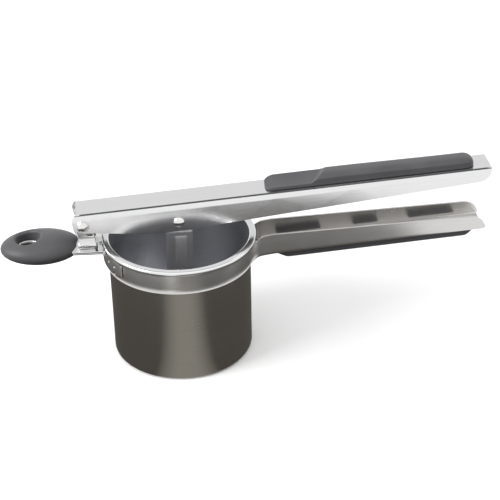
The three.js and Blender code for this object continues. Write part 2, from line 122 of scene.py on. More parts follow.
# ------------------------------------------------------------------ mesh helpers
def make_piece(name, vertices, faces, smooth_deg=32, place=None, outward=None):
    """A mesh piece from points in millimetres. outward is (point, direction): the
    face nearest the point is made to look that way, and the others follow."""
    mesh = bpy.data.meshes.new(name)
    mesh.from_pydata([Vector(v) * MM for v in vertices], [], faces)
    bm = bmesh.new()
    bm.from_mesh(mesh)
    bmesh.ops.remove_doubles(bm, verts=bm.verts, dist=2e-6)
    bmesh.ops.dissolve_degenerate(bm, dist=1e-6, edges=bm.edges)
    bmesh.ops.recalc_face_normals(bm, faces=bm.faces)
    if outward:
        at = Vector(outward[0]) * MM
        probe = min(bm.faces, key=lambda face: (face.calc_center_median() - at).length)
        if probe.normal.dot(Vector(outward[1])) < 0:
            bmesh.ops.reverse_faces(bm, faces=bm.faces)
    if place:
        bm.transform(place)
    bm.to_mesh(mesh)
    bm.free()
    piece = bpy.data.objects.new(name, mesh)
    bpy.context.scene.collection.objects.link(piece)
    mesh.shade_smooth()
    mesh.set_sharp_from_angle(angle=math.radians(smooth_deg))
    return piece


def thicken(piece, thickness):
    """Gives an open surface its sheet thickness, inwards from its outer face."""
    solid = piece.modifiers.new("sheet", "SOLIDIFY")
    solid.thickness = thickness * MM
    solid.offset = -1
    solid.use_even_offset = True


def soften(piece, width, segments=2, angle=48):
    """Rounds the sharp edges and keeps the flat faces flat."""
    bevel = piece.modifiers.new("edges", "BEVEL")
    bevel.width = width * MM
    bevel.segments = segments
    bevel.limit_method = "ANGLE"
    bevel.angle_limit = math.radians(angle)
    bevel.use_clamp_overlap = True
    flat = piece.modifiers.new("flat faces", "WEIGHTED_NORMAL")
    flat.mode = "FACE_AREA"
    flat.weight = 100
    flat.keep_sharp = True


def finish_piece(piece, body, slot, material, *nodes):
    """The piece takes its material, rides on its body and stands for its nodes."""
    piece.data.materials.append(material)
    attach(piece, body)
    if nodes:
        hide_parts(*nodes)
    return piece


def finish_bracket(piece, edge, segments=2, angle=48):
    """Rounded edges and polish for one part of the hinge bracket."""
    soften(piece, edge, segments, angle)
    finish_piece(piece, "base", "polished_steel", BRACKET_STEEL)


def finish_rubber(piece, body, *nodes):
    finish_piece(piece, body, "soft_rubber", RUBBER, *nodes)


def move_to(x, y, z):
    """A place in millimetres."""
    return Matrix.Translation(Vector((x, y, z)) * MM)


def arc(cx, cy, radius, start_deg, end_deg, steps):
    points = []
    for step in range(steps + 1):
        angle = math.radians(start_deg + (end_deg - start_deg) * step / steps)
        points.append((cx + radius * math.cos(angle), cy + radius * math.sin(angle)))
    return points


def circle(cx, cy, radius, count):
    """Count points round a whole circle."""
    return arc(cx, cy, radius, 0, 360 - 360 / count, count - 1)


def quad_curve_at(start, control, end, t):
    return tuple((1 - t) ** 2 * a + 2 * t * (1 - t) * b + t * t * c
                 for a, b, c in zip(start, control, end))


def quad_curve(start, control, end, steps):
    """Points on a quadratic curve, without its first point."""
    return [quad_curve_at(start, control, end, step / steps) for step in range(1, steps + 1)]


def cubic_curve(a, b, c, d, steps):
    """Points on a cubic curve, without its first point."""
    points = []
    for step in range(1, steps + 1):
        t = step / steps
        first = quad_curve_at(a, b, c, t)
        second = quad_curve_at(b, c, d, t)
        points.append(tuple(blend(m, n, t) for m, n in zip(first, second)))
    return points


def grid_faces(rows, columns, offset=0, close_rows=False, close_columns=False):
    """Quads of a grid of rows by columns, numbered row by row from offset."""
    faces = []
    for i in range(rows if close_rows else rows - 1):
        for j in range(columns if close_columns else columns - 1):
            a = offset + i * columns + j
            b = offset + i * columns + (j + 1) % columns
            down = ((i + 1) % rows - i) * columns
            faces.append((a, b, b + down, a + down))
    return faces


def inside(loop, a, b):
    """Whether the point (a, b) is inside a loop of flat points."""
    crossings = 0
    for (a0, b0), (a1, b1) in zip(loop, loop[1:] + loop[:1]):
        if (b0 > b) != (b1 > b) and a < a0 + (b - b0) * (a1 - a0) / (b1 - b0):
            crossings += 1
    return crossings % 2 == 1


def panel_faces(loops, offset=0):
    """Triangles of a flat panel: its outline, then the outlines of its holes."""
    every = [point for loop in loops for point in loop]
    spans = [max(p[k] for p in every) - min(p[k] for p in every) for k in range(3)]
    first, second = [k for k in range(3) if k != spans.index(min(spans))]
    flat = [[(p[first], p[second]) for p in loop] for loop in loops]
    edges = []
    for loop in flat:
        start = len(edges)
        edges += [(start + i, start + (i + 1) % len(loop)) for i in range(len(loop))]
    points = [Vector(point) for loop in flat for point in loop]
    made, _, triangles, sources, _, _ = delaunay_2d_cdt(points, edges, [], 1, 1e-6)
    faces = []
    for triangle in triangles:
        a = sum(made[i].x for i in triangle) / 3
        b = sum(made[i].y for i in triangle) / 3
        if inside(flat[0], a, b) and not in_a_hole(flat[1:], a, b):
            faces.append(tuple(offset + sources[i][0] for i in triangle))
    return faces


def add_panel(vertices, faces, loops):
    """Adds a flat panel, given by its outline and the outlines of its holes."""
    faces += panel_faces(loops, len(vertices))
    vertices += [point for loop in loops for point in loop]


def add_rows(vertices, faces, rows):
    """Adds an open sheet of quads through rows of equally many points."""
    faces += grid_faces(len(rows), len(rows[0]), len(vertices))
    vertices += [point for row in rows for point in row]


def in_a_hole(holes, a, b):
    for hole in holes:
        near = abs(hole[0][0] - a) < 60 and abs(hole[0][1] - b) < 20
        if near and inside(hole, a, b):
            return True
    return False


def smoothstep(low, high, value):
    t = min(1.0, max(0.0, (value - low) / (high - low)))
    return t * t * (3 - 2 * t)


def blend(a, b, t):
    return a + (b - a) * t


def rounded_slot(u0, u1, half, radius, height_at):
    """The outline of a slot with rounded corners, as points (u, y, w)."""
    corners = [(u1 - radius, half - radius, 0), (u0 + radius, half - radius, 90),
               (u0 + radius, -half + radius, 180), (u1 - radius, -half + radius, 270)]
    outline = []
    for cu, cy, turn in corners:
        outline += arc(cu, cy, radius, turn, turn + 90, 4)
    return [Vector((u, y, height_at(u))) for u, y in outline]


def turned(name, profile, segments, place):
    """A turned piece: profile is (radius, height) up its own Z axis, ending on the
    axis or closed round a bore."""
    closed = profile[0][0] > 1e-6
    vertices = []
    for r, z in profile:
        for step in range(segments):
            angle = TURN * step / segments
            vertices.append((r * math.cos(angle), r * math.sin(angle), z))
    faces = grid_faces(len(profile), segments, close_rows=closed, close_columns=True)
    return make_piece(name, vertices, faces, smooth_deg=50, place=place)


def ring_loft(name, rings, **options):
    """A closed solid through rings of equally many points, with a cap at each end."""
    count = len(rings[0])
    vertices = [point for ring in rings for point in ring]
    faces = grid_faces(len(rings), count, close_columns=True)
    faces.append(tuple(range(count)))
    faces.append(tuple(range((len(rings) - 1) * count, len(rings) * count)))
    return make_piece(name, vertices, faces, **options)


# --------------------------------------------------------------------- materials
class Nodes:
    """Short ways to lay out one material's nodes."""

    def __init__(self, name):
        self.material = bpy.data.materials.new(name)
        self.material.use_nodes = True
        self.tree = self.material.node_tree
        self.shader = self.tree.nodes["Principled BSDF"]
        self.coordinates = self.add("ShaderNodeTexCoord").outputs["Object"]

    def add(self, kind, **settings):
        node = self.tree.nodes.new(kind)
        for key, value in settings.items():
            setattr(node, key, value)
        return node

    def link(self, output, socket):
        self.tree.links.new(output, socket)

    def stretched(self, vector, scale, tilt=0.0):
        """The vector turned back by tilt about Y, then scaled axis by axis."""
        mapping = self.add("ShaderNodeMapping", vector_type="TEXTURE")
        mapping.inputs["Rotation"].default_value = (0.0, -tilt, 0.0)
        mapping.inputs["Scale"].default_value = [1 / factor for factor in scale]
        self.link(vector, mapping.inputs["Vector"])
        return mapping.outputs["Vector"]

    def noise(self, vector, scale, detail=3.0, roughness=0.55):
        node = self.add("ShaderNodeTexNoise")
        node.inputs["Scale"].default_value = scale
        node.inputs["Detail"].default_value = detail
        node.inputs["Roughness"].default_value = roughness
        self.link(vector, node.inputs["Vector"])
        return node.outputs["Fac"]

    def spread(self, value, low, high, start=0.3, end=0.7):
        node = self.add("ShaderNodeMapRange")
        node.inputs["From Min"].default_value = start
        node.inputs["From Max"].default_value = end
        node.inputs["To Min"].default_value = low
        node.inputs["To Max"].default_value = high
        self.link(value, node.inputs["Value"])
        return node.outputs["Result"]

    def mixed(self, factor, first, second):
        node = self.add("ShaderNodeMix", data_type="RGBA")
        self.link(factor, node.inputs["Factor"])
        for socket, colour in ((node.inputs[6], first), (node.inputs[7], second)):
            if isinstance(colour, tuple):
                socket.default_value = (*colour, 1)
            else:
                self.link(colour, socket)
        return node.outputs[2]

    def maths(self, operation, first, second):
        node = self.add("ShaderNodeMath", operation=operation)
        for socket, value in ((node.inputs[0], first), (node.inputs[1], second)):
            if isinstance(value, (int, float)):
                socket.default_value = value
            else:
                self.link(value, socket)
        return node.outputs[0]

    def bump(self, height, strength, distance):
        node = self.add("ShaderNodeBump")
        node.inputs["Strength"].default_value = strength
        node.inputs["Distance"].default_value = distance
        self.link(height, node.inputs["Height"])
        self.link(node.outputs["Normal"], self.shader.inputs["Normal"])

    def turned_coordinates(self):
        """Radius, height and a little angle, so that grain runs round the Z axis."""
        split = self.add("ShaderNodeSeparateXYZ")
        self.link(self.coordinates, split.inputs[0])
        x, y, z = split.outputs
        square = self.maths("ADD", self.maths("MULTIPLY", x, x), self.maths("MULTIPLY", y, y))
        radius = self.maths("SQRT", square, 0.0)
        angle = self.maths("MULTIPLY", self.maths("ARCTAN2", y, x), 0.0006)
        join = self.add("ShaderNodeCombineXYZ")
        for value, socket in zip((radius, angle, z), join.inputs):
            self.link(value, socket)
        return join.outputs[0]


def steel_material(name, light, dark, roughness, grain_scale, grain_bump,
                   turned_grain=False, tilt=0.0):
    """Steel with fine grain, cloudy wear and faint stains. grain_scale stretches the
    grain along one axis, or round the hopper when turned_grain is set."""
    nodes = Nodes(name)
    shader = nodes.shader
    shader.inputs["Metallic"].default_value = 1.0
    where = nodes.turned_coordinates() if turned_grain else nodes.coordinates
    grain = nodes.noise(nodes.stretched(where, grain_scale, tilt), 1.0, 4.0, 0.6)
    clouds = nodes.noise(nodes.coordinates, 38.0, 3.0)
    specks = nodes.noise(nodes.coordinates, 620.0, 2.0)
    tone = nodes.mixed(nodes.spread(grain, 0.0, 1.0), dark, light)
    cloudy = nodes.mixed(nodes.spread(clouds, 0.0, 0.35), tone, dark)
    nodes.link(cloudy, shader.inputs["Base Color"])
    wear = nodes.spread(clouds, roughness[0], roughness[1])
    nodes.link(nodes.maths("ADD", wear, nodes.spread(specks, -0.015, 0.02)),
               shader.inputs["Roughness"])
    nodes.bump(grain, grain_bump, 0.00004)
    return nodes.material


def rubber_material(name, light, dark):
    """Soft-touch moulded rubber: a fine matt grain, a bloom of dust and a low sheen."""
    nodes = Nodes(name)
    shader = nodes.shader
    pores = nodes.noise(nodes.coordinates, 2300.0, 2.0, 0.6)
    handled = nodes.noise(nodes.coordinates, 55.0, 3.0)
    body = nodes.mixed(nodes.spread(handled, 0.0, 1.0), dark, light)
    speckled = nodes.mixed(nodes.spread(pores, 0.0, 0.25), body, light)
    nodes.link(speckled, shader.inputs["Base Color"])
    nodes.link(nodes.spread(handled, 0.44, 0.54), shader.inputs["Roughness"])
    shader.inputs["Specular IOR Level"].default_value = 0.42
    shader.inputs["Sheen Weight"].default_value = 0.12
    shader.inputs["Sheen Roughness"].default_value = 0.5
    nodes.bump(pores, 0.25, 0.00005)
    return nodes.material


ALONG_X = (14.0, 2600.0, 2600.0)
ALONG_Z = (900.0, 900.0, 16.0)
ROUND_Z = (2600.0, 900.0, 2600.0)

HOPPER_STEEL = steel_material("hopper_steel", (0.60, 0.585, 0.55), (0.52, 0.505, 0.475),
                              (0.2, 0.26), ROUND_Z, 0.07, turned_grain=True)
# Inside of the hopper: rougher and a little bluer than the outside steel, and lighter, partly
# painted light that brightens the shaded cup.
INSIDE_STEEL = steel_material("hopper_inside_steel", (0.72, 0.725, 0.75), (0.63, 0.635, 0.66),
                              (0.3, 0.38), ROUND_Z, 0.08, turned_grain=True)
RIM_STEEL = steel_material("rim_steel", (0.88, 0.88, 0.88), (0.8, 0.8, 0.8),
                           (0.1, 0.15), ROUND_Z, 0.05, turned_grain=True)
STRAP_STEEL = steel_material("strap_steel", (0.74, 0.73, 0.712), (0.64, 0.63, 0.613),
                             (0.2, 0.26), ALONG_X, 0.06)
STEM_STEEL = steel_material("stem_steel", (0.9, 0.89, 0.895), (0.82, 0.81, 0.815),
                            (0.3, 0.34), ALONG_Z, 0.03)
LEVER_STEEL = steel_material("lever_steel", (0.88, 0.88, 0.88), (0.8, 0.8, 0.805),
                             (0.15, 0.2), ALONG_X, 0.05, tilt=LEVER_TILT)
BRACKET_STEEL = steel_material("bracket_steel", (0.8, 0.8, 0.8), (0.7, 0.7, 0.7),
                               (0.09, 0.13), ALONG_X, 0.04)
RIVET_STEEL = steel_material("rivet_steel", (0.92, 0.91, 0.9), (0.82, 0.815, 0.81),
                             (0.07, 0.11), (900.0, 900.0, 900.0), 0.04)
RUBBER = rubber_material("soft_rubber", (0.08, 0.08, 0.085), (0.06, 0.06, 0.065))


# ------------------------------------------------------------------------ hopper
def hopper_profile():
    """Radius and height from the base's underside, round the rolled rim, and in."""
    wall = CUP_R + CUP_WALL
    under = RIM_Z - SHEET
    return ([(BASE_DISC_R, 0.0)]
            + arc(wall - 2.2, 2.2, 2.2, -90, 0, 8)
            + arc(wall + 0.6, under - 0.6, 0.6, 180, 90, 5)
            + arc(RIM_R - 1.2, under - 0.4, 0.4, 90, 0, 4)
            + arc(RIM_R - 0.4, RIM_Z - 2.4, 0.4, 180, 360, 8)
            + arc(RIM_R - 1.2, RIM_Z - 1.2, 1.2, 0, 90, 8)
            + arc(CUP_R + 1.2, RIM_Z - 1.2, 1.2, 90, 180, 8)
            + arc(CUP_R - 1.4, CUP_WALL + 1.4, 1.4, 0, -90, 6)
            + [(BASE_DISC_R, CUP_WALL)])


def hole_centres():
    centres = []
    rows = math.ceil(HOLE_FIELD_R / HOLE_PITCH) + 1
    for i in range(-rows, rows + 1):
        for j in range(-rows, rows + 1):
            x = HOLE_PITCH * (i + j / 2)
            y = HOLE_PITCH * j * math.sqrt(3) / 2
            if HOLE_PITCH / 2 < math.hypot(x, y) < HOLE_FIELD_R:
                centres.append((x, y))
    return centres


def perforated_disc(z, segments):
    """The base at height z as loops: its outline first, then a loop for each hole."""
    outline = [Vector((BASE_DISC_R * math.cos(TURN * i / segments),
                       BASE_DISC_R * math.sin(TURN * i / segments), z))
               for i in range(segments)]
    loops = [outline]
    for x, y in hole_centres():
        loops.append([Vector((px, py, z)) for px, py in circle(x, y, HOLE_R, HOLE_POINTS)])
    return loops


def make_hopper():
    segments = 144
    profile = hopper_profile()
    vertices = [(r * math.cos(TURN * i / segments), r * math.sin(TURN * i / segments), z)
                for r, z in profile for i in range(segments)]
    faces = grid_faces(len(profile), segments, close_columns=True)
    for z in (0.0, CUP_WALL):
        add_panel(vertices, faces, perforated_disc(z, segments))
    for x, y in hole_centres():
        ring = circle(x, y, HOLE_R, HOLE_POINTS)
        faces += grid_faces(2, HOLE_POINTS, len(vertices), close_columns=True)
        vertices += [(px, py, z) for z in (0.0, CUP_WALL) for px, py in ring]
    hopper = make_piece("hopper_shell", vertices, faces, 30,
                        outward=((CUP_R + CUP_WALL, 0, 30), (1, 0, 0)))
    finish_piece(hopper, "base", "brushed_steel", HOPPER_STEEL, "hopper")
    hopper.data.materials.append(INSIDE_STEEL)
    hopper.data.materials.append(RIM_STEEL)
    # Rim faces take the rim steel. Inside faces take the inside steel, whose lighter tone is partly
    # painted light.
    for face in hopper.data.polygons:
        centre = face.center / MM
        if centre.z > RIM_Z - 3:
            face.material_index = 2
        elif centre.xy.length < CUP_R + 0.1 and centre.z > 0.1:
            face.material_index = 1


# --------------------------------------------------------- strap and lower handle
def floor_z(x):
    return FLOOR_AT[1] + (x - FLOOR_AT[0]) * FLOOR_SLOPE


def handle_top_curve():
    """The flange's top edge as (x, z), from the band to the handle's rounded end."""
    end = HANDLE_END_X
    points = [(44.6, BAND_TOP)]
    points += quad_curve((44.6, BAND_TOP), (47.0, RIM_Z - 0.3), (51.0, RIM_Z), 6)
    round_start = (end - HANDLE_ROUND, RIM_Z + 3.6)
    points += [round_start]
    points += cubic_curve(round_start, (end - 4.0, RIM_Z + 3.8),
                          (end, RIM_Z + 0.4), (end, RIM_Z - 3.8), 14)
    return points


def height_on(curve, x):
    if x <= curve[0][0]:
        return curve[0][1]
    for (x0, z0), (x1, z1) in zip(curve, curve[1:]):
        if x <= x1:
            return blend(z0, z1, (x - x0) / (x1 - x0))
    return curve[-1][1]


def strap_low_z(x):
    if x <= 40:
        return BAND_LOW
    low = quad_curve((40.0, BAND_LOW), (45.0, BAND_LOW + 0.3), (52.0, floor_z(52.0)), 8)
    return height_on([(40.0, BAND_LOW), *low, (200.0, floor_z(200.0))], x)


def strap_rows():
    """Stations along the near side: (x, y, inward normal, curl). curl grows from 0 on
    the band to 1 where the lower edge has turned in to be the handle's floor."""
    neck_x = math.sqrt((BAND_OUT + NECK_R) ** 2 - (TROUGH_HALF + NECK_R) ** 2)
    neck_y = TROUGH_HALF + NECK_R
    leave = math.atan2(neck_y, neck_x)
    rows = []
    for i in range(BAND_STEPS):
        angle = blend(math.pi - BAND_GAP, leave, i / BAND_STEPS)
        rows.append((BAND_OUT * math.cos(angle), -BAND_OUT * math.sin(angle),
                     (-math.cos(angle), math.sin(angle)), 0.0))
    for i in range(NECK_STEPS + 1):
        angle = blend(leave + math.pi, TURN * 0.75, i / NECK_STEPS)
        x = neck_x + NECK_R * math.cos(angle)
        y = neck_y + NECK_R * math.sin(angle)
        rows.append((x, -y, (math.cos(angle), -math.sin(angle)),
                     smoothstep(0.1, 0.95, i / NECK_STEPS)))
    straight = HANDLE_END_X - HANDLE_ROUND - neck_x
    for i in range(1, 21):
        rows.append((neck_x + straight * i / 20, -TROUGH_HALF, (0.0, 1.0), 1.0))
    return rows


def strap_section(x, y, inward, curl, top, low_x=None):
    """One station's column: down the flange, then round the bend into the floor."""
    low = strap_low_z(low_x if low_x is not None else x)
    turn = curl * math.pi / 2
    start = low + BEND_R * math.sin(turn)
    column = [(x, y, blend(top, start + SKIRT_TALL, step / 5)) for step in range(6)]
    for step in range(7):
        angle = turn * step / 6
        shift = BEND_R * (1 - math.cos(angle)) - SKIRT_OUT * (1 - curl)
        column.append((x + inward[0] * shift, y + inward[1] * shift,
                       low + BEND_R * (math.sin(turn) - math.sin(angle))))
    return column


def strap_columns():
    top = handle_top_curve()
    columns = [strap_section(x, y, inward, curl, height_on(top, x) if x > 40 else BAND_TOP)
               for x, y, inward, curl in strap_rows()]
    rounding = [point for point in top if point[0] > HANDLE_END_X - HANDLE_ROUND]
    for x, z in rounding:
        low_x = min(x, HANDLE_END_X - 0.7)
        column = strap_section(x, -TROUGH_HALF, (0.0, 1.0), 1.0, z, low_x)
        columns.append([(blend(x, low_x, j / 12), y, h) for j, (_, y, h) in enumerate(column)])
    return columns


def mirrored(points):
    return [(x, -y, z) for x, y, z in points]


def make_strap():
    columns = strap_columns()
    count = len(columns[0])
    near = [point for column in columns for point in column]
    faces = grid_faces(len(columns), count)
    vertices = near + mirrored(near)
    faces += [tuple(reversed(face)) for face in grid_faces(len(columns), count, len(near))]
    floor_start = BAND_STEPS + NECK_STEPS
    near_edge = [Vector(column[-1]) for column in columns[floor_start:]]
    far_edge = [Vector((x, -y, z)) for x, y, z in reversed(near_edge)]
    loops = [near_edge + far_edge]
    for x0, x1 in GRIP_SLOTS_X:
        loops.append(rounded_slot(x0, x1, SLOT_HALF, 1.2, floor_z))
    add_panel(vertices, faces, loops)
    strap = make_piece("handle_strap", vertices, faces,
                       outward=((100, -TROUGH_HALF, RIM_Z - 3), (0, -1, 0)))
    thicken(strap, SHEET)
    soften(strap, 0.35, 3)
    finish_piece(strap, "base", "brushed_steel", STRAP_STEEL, "lower_handle")


# --------------------------------------------------------------------- grip pads
def make_lower_grip():
    """A long pad under the handle's floor, thin at its ends, with lugs in the slots."""
    half = TROUGH_HALF - 2
    rings = []
    start, end = LOWER_PAD_X
    for i in range(49):
        t = i / 48
        x = blend(start, end, 0.5 - 0.5 * math.cos(math.pi * t))
        top = floor_z(x) - GAP
        depth = 0.9 + 2.9 * min(smoothstep(start - 0.5, start + 7, x),
                                1 - smoothstep(end - 5, end + 0.5, x))
        width = half - 1.4 * (1 - min(smoothstep(start - 1, start + 3, x),
                                      1 - smoothstep(end - 3, end + 1, x)))
        r = min(1.4, depth * 0.6)
        section = (arc(width - r, -depth + r, r, 0, -90, 5)
                   + arc(-width + r, -depth + r, r, -90, -180, 5)
                   + [(-width, -0.3), (-width + 0.3, 0.0), (width - 0.3, 0.0), (width, -0.3)])
        rings.append([(x, y, top + z - 0.12 * (1 - (y / width) ** 2) * (z < -0.5))
                      for y, z in section])
    pad = ring_loft("lower_grip_pad", rings, smooth_deg=42)
    soften(pad, 0.3)
    finish_rubber(pad, "base", "lower_grip")
    for index, (x0, x1) in enumerate(GRIP_SLOTS_X):
        rise = SHEET + GAP - 0.2
        lug = make_lug(f"lower_grip_lug_{index + 1}", x0, x1, lambda x: floor_z(x) - GAP, rise)
        finish_rubber(lug, "base")


def make_lug(name, u0, u1, base_at, rise, place=None):
    """A locking lug that fills a slot, with a rounded and slightly sunken top."""
    outline = rounded_slot(u0 + GAP, u1 - GAP, SLOT_HALF - GAP, 1.0, lambda _: 0.0)
    mid = Vector(((u0 + u1) / 2, 0, 0))
    rings = []
    for inset, lift in ((0, 0), (0, 0.7), (0.12, 0.92), (0.4, 1.0), (1.4, 0.96)):
        rings.append([])
        for point in outline:
            reach = point - mid
            u = mid.x + reach.x - math.copysign(inset, reach.x)
            y = reach.y - math.copysign(inset, reach.y)
            rings[-1].append((u, y, base_at(u) + rise * lift))
    return ring_loft(name, rings, smooth_deg=60, place=place)


def scoop_edge(y):
    """Where the thumb rest ends and the ridge starts, along the lever."""
    return 133.0 + 3.2 * (1 + y / PAD_HALF) + 1.2 * (1 - (y / PAD_HALF) ** 2)


def ridge_height(u, y):
    """The upper pad's height over its base."""
    across_pad = y / PAD_HALF
    ridge = 3.6 + 2.2 * (1 - min(1.0, abs(across_pad)) ** 3.2) - 0.75 * smoothstep(140, 215, u)
    rest = 2.2 + 0.9 * across_pad + 0.3 * across_pad ** 2
    edge = scoop_edge(y)
    rise = smoothstep(edge - 4.5, edge + 0.4, u)
    height = blend(rest, ridge, rise)
    lead = smoothstep(102.0, 110.0, u)
    tail = math.sqrt(max(0.0, 1 - max(0.0, (u - 217.4) / 5.5) ** 2))
    return max(0.35, height * (0.55 + 0.45 * lead) * (0.35 + 0.65 * tail))


def make_upper_grip():
    """The crowned pad on the lever, with a thumb rest and lugs in the slots."""
    base = LEVER_TOP + GAP
    start, end = PAD_U
    stations = [blend(start, end, i / 150) for i in range(151)]
    rings = []
    for u in stations:
        left = max(0.0, (start + 4.6 - u) / 4.6)
        half = PAD_HALF * (0.4 + 0.6 * math.sqrt(1 - left ** 2))
        if u > end - 6:
            half *= math.sqrt(max(0.0, 1 - ((u - end + 6) / 6.1) ** 2)) * 0.7 + 0.3
        ring = [(u, -half, base)]
        ring.append((u, -half, base + 0.7 * ridge_height(u, -PAD_HALF)))
        for j in range(25):
            t = -1 + 2 * j / 24
            y = half * 0.965 * math.sin(t * math.pi / 2)
            ring.append((u, y, base + ridge_height(u, y * PAD_HALF / half)))
        ring.append((u, half, base + 0.7 * ridge_height(u, PAD_HALF)))
        ring.append((u, half, base))
        rings.append(ring)
    pad = ring_loft("upper_grip_pad", rings, smooth_deg=52, place=LEVER_FRAME)
    soften(pad, 0.35, 3, 55)
    finish_rubber(pad, "lever", "upper_grip")
    for index, (u0, u1) in enumerate(LEVER_SLOTS_U):
        rise = -(SHEET + GAP - 0.2)
        lug = make_lug(f"upper_grip_lug_{index + 1}", u0, u1, lambda _: base, rise, LEVER_FRAME)
        finish_rubber(lug, "lever")


# ------------------------------------------------------------------------- lever
def lever_end_curves():
    """The rounded ends of the lever's side view as (u, w), both ending at the top."""
    left = quad_curve((-5.8, 2.4), (-5.6, 6.2), (-3.4, LEVER_TOP), 16)
    right = quad_curve((LEVER_LENGTH - 8, LEVER_TOP - 8),
                       (LEVER_LENGTH - 0.6, LEVER_TOP - 7.6), (LEVER_LENGTH, LEVER_TOP), 24)
    return [(-5.8, 2.4), *left], [(LEVER_LENGTH - 8, LEVER_TOP - 8), *right]


def end_at(curve, w):
    """Where an end curve stands at height w."""
    return height_on([(height, u) for u, height in curve], w)


def lever_flange_outline():
    """The flange below the top bend as (u, w): down the left end, along the lower
    edge and up the right end."""
    left, right = lever_end_curves()
    seam = lever_bend()[0][1]
    points = [(end_at(left, seam), seam), (-5.8, 2.4)]
    points += quad_curve((-5.8, 2.4), (-6.0, -3.8), (1.0, -4.4), 12)
    points += [(u, blend(-4.4, -9.5, (u - 1) / 35)) for u in (11.0, 21.0, 36.0)]
    points += quad_curve((36.0, -9.5), (43.0, -10.5), (50.0, -9.9), 6)
    points += [(u, blend(-9.9, LEVER_TOP - 8, (u - 50) / (LEVER_LENGTH - 58)))
               for u in (90.0, 130.0, 170.0, 200.0)]
    points += [point for point in right if point[1] < seam - 0.05]
    return points + [(end_at(right, seam), seam)]


def lever_bend():
    """The bend from flange to top plate as (y, w): the flange leans in a little,
    then a tight round and a shallow facet."""
    steps = ((0.0, 3.6), (0.08, 2.8), (0.18, 1.9), (0.28, 0.95), (0.35, 0.62), (0.5, 0.42),
             (1.8, 0.0))
    return [(LEVER_HALF - inwards, LEVER_TOP - down) for inwards, down in steps]


def make_lever():
    flange = lever_flange_outline()
    left, right = lever_end_curves()
    bend = lever_bend()
    bend_rows = []
    for i in range(61):
        bend_rows.append([(blend(end_at(left, w), end_at(right, w), i / 60), y, w)
                          for y, w in bend])
    far = [point for row in bend_rows for point in row]
    vertices = far + mirrored(far)
    count = len(bend)
    faces = grid_faces(61, count)
    faces += [tuple(reversed(face)) for face in grid_faces(61, count, len(far))]
    far_line = [Vector(row[0]) for row in bend_rows[1:-1]]
    for side in (1, -1):
        outline = [Vector((u, side * LEVER_HALF, w)) for u, w in flange]
        outline += [Vector((p.x, side * p.y, p.z)) for p in reversed(far_line)]
        bores = [circle(u, w, PIVOT_HOLE_R, 24) for u, w in ((0.0, 0.0), pin_in_lever())]
        holes = [[Vector((u, side * LEVER_HALF, w)) for u, w in bore] for bore in bores]
        add_panel(vertices, faces, [outline, *holes])
    top_far = [Vector(row[-1]) for row in bend_rows]
    top_near = [Vector((p.x, -p.y, p.z)) for p in reversed(top_far)]
    loops = [top_far + top_near]
    for u0, u1 in LEVER_SLOTS_U:
        loops.append(rounded_slot(u0, u1, SLOT_HALF, 1.2, lambda _: LEVER_TOP))
    add_panel(vertices, faces, loops)
    lever = make_piece("lever_pressing", vertices, faces, smooth_deg=15, place=LEVER_FRAME,
                       outward=((60, 0, LEVER_TOP), (0, 0, 1)))
    thicken(lever, SHEET)
    soften(lever, 0.35, 3)
    finish_piece(lever, "lever", "lever_steel", LEVER_STEEL, "lever_channel")


def pin_in_lever():
    at = LEVER_FRAME.inverted() @ (PIN * MM) / MM
    return at.x, at.z


def across(point, roll=0.0):
    """A place whose own Z axis runs along +Y, for the rivets."""
    return (Matrix.Translation(point * MM) @ Matrix.Rotation(-math.pi / 2, 4, "X")
            @ Matrix.Rotation(roll, 4, "Z"))


def make_rivet(name, node, radius, height, seat):
    """A shank across the lever with a domed head outside each flange."""
    face = LEVER_HALF + seat
    half = [(2.0, face), (radius - 0.25, face), (radius, face + 0.22)]
    half += [(radius * math.cos(math.radians(a)) * 0.995,
              face + 0.22 + (height - 0.22) * math.sin(math.radians(a)))
             for a in (14, 28, 42, 56, 70, 82)]
    half.append((0.0, face + height))
    profile = [(r, -z) for r, z in reversed(half)] + half
    rivet = turned(name, profile, 40, across(middle(node)))
    finish_piece(rivet, "lever", "polished_steel", RIVET_STEEL, node)


def washer_profile(inner, outer, low, high, edge):
    return [(inner, low + edge), (inner + edge, low), (outer - edge, low), (outer, low + edge),
            (outer, high - edge), (outer - edge, high), (inner + edge, high), (inner, high - edge)]


def make_lever_hardware():
    make_rivet("hinge_rivet_domed", "hinge_rivet", 3.0, 1.1, 0.9)
    make_rivet("plunger_pin_domed", "plunger_pin", 3.0, 1.5, 0.25)
    for node in ("hinge_washer_near", "hinge_washer_far"):
        low, high = box_mm(node)
        half = (high.y - low.y) / 2
        profile = washer_profile(PIVOT_HOLE_R, 3.6, -half, half, 0.12)
        washer = turned(f"{node}_ring", profile, 40, across(middle(node)))
        finish_piece(washer, "lever", "polished_steel", STEM_STEEL, node)
    low, high = box_mm("hinge_sleeve")
    half = (high.y - low.y) / 2
    profile = washer_profile(PIVOT_HOLE_R, 3.4, -half, half, 0.3)
    sleeve = turned("hinge_sleeve_tube", profile, 40, across(middle("hinge_sleeve")))
    finish_piece(sleeve, "base", "polished_steel", RIVET_STEEL, "hinge_sleeve")


# ----------------------------------------------------------------- hinge bracket
EAR_OUT = 7.3
EAR_SHEET = 1.4
TONGUE_LOW = RIM_Z - 2.4
TONGUE_HIGH = RIM_Z - 0.4
TONGUE_HALF = 15.3
WING_IN = BAND_OUT + GAP
WING_HALF = math.radians(38.3)
SPOT_WELDS = [(22.3, 6.2), (30.6, 6.7), (30.4, 11.4), (36.6, 11.7)]   # degrees, mm down


